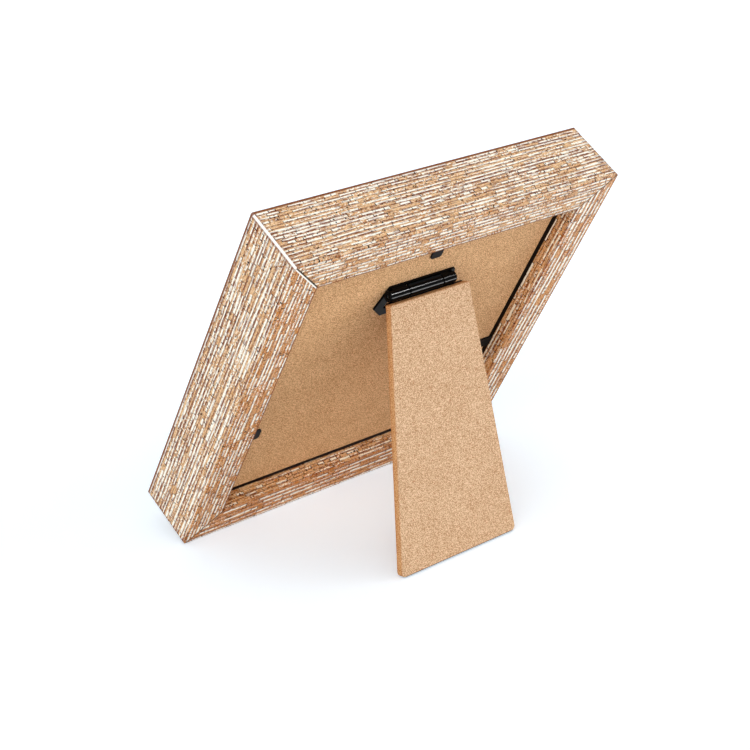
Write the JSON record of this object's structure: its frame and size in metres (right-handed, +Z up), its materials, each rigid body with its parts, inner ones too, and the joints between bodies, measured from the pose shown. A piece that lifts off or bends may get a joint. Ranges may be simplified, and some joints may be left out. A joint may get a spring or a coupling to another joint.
{
  "type": "easel back photo frame",
  "caption": "Square table photo frame with mitred wood-look rails, an MDF back board held by flexible points and a hinged MDF leg that it leans back on.",
  "frame": {"origin": "on the table, at the middle of the standing frame's box", "axes": "+X to the frame's right as seen from the front, +Y to the back, where the leg stands, +Z up"},
  "size_m": [0.16, 0.1014, 0.1537],
  "materials": {
    "rail_foil": "wood-look foil with fine broken streaks along each rail",
    "mdf": "plain smooth MDF",
    "black_plastic": "satin black moulding",
    "black_steel": "satin black",
    "steel": "bright",
    "glass": "clear",
    "print_paper": "coated photo paper, plain"
  },
  "bodies": {
    "frame": {"tab_shank_top": "black_steel", "tab_shank_right": "black_steel", "tab_shank_left": "black_steel", "top_rail": "rail_foil", "right_rail": "rail_foil", "bottom_rail": "rail_foil", "left_rail": "rail_foil", "v_nail_top_right": "steel", "v_nail_bottom_right": "steel", "v_nail_bottom_left": "steel", "v_nail_top_left": "steel", "glass_pane": "glass", "picture_print": "print_paper", "back_board": "mdf", "base_rivets": "steel", "hinge_base_leaf": "black_plastic", "hinge_pin": "steel"},
    "leg": {"easel_leg": "mdf", "hinge_leg_leaf": "black_plastic"},
    "top_tab": {"tab_blade_top": "black_steel"},
    "right_tab": {"tab_blade_right": "black_steel"},
    "left_tab": {"tab_blade_left": "black_steel"}
  },
  "joints": [
    {"name": "leg_fold", "type": "hinge", "parent": "frame", "child": "leg", "pos_m": [0.0005, 0.02647, 0.10704], "axis": [-1, 0, 0], "range_deg": [0, 37]},
    {"name": "top_tab_bend", "type": "hinge", "parent": "frame", "child": "top_tab", "pos_m": [-0.0014, 0.03623, 0.12984], "axis": [1, 0, 0], "range_deg": [0, 85]},
    {"name": "right_tab_bend", "type": "hinge", "parent": "frame", "child": "right_tab", "pos_m": [0.0641, -0.00773, 0.04845], "axis": [0, -0.4752, -0.8799], "range_deg": [0, 85]},
    {"name": "left_tab_bend", "type": "hinge", "parent": "frame", "child": "left_tab", "pos_m": [-0.0641, -0.00336, 0.05655], "axis": [0, 0.4752, 0.8799], "range_deg": [0, 85]}
  ]
}
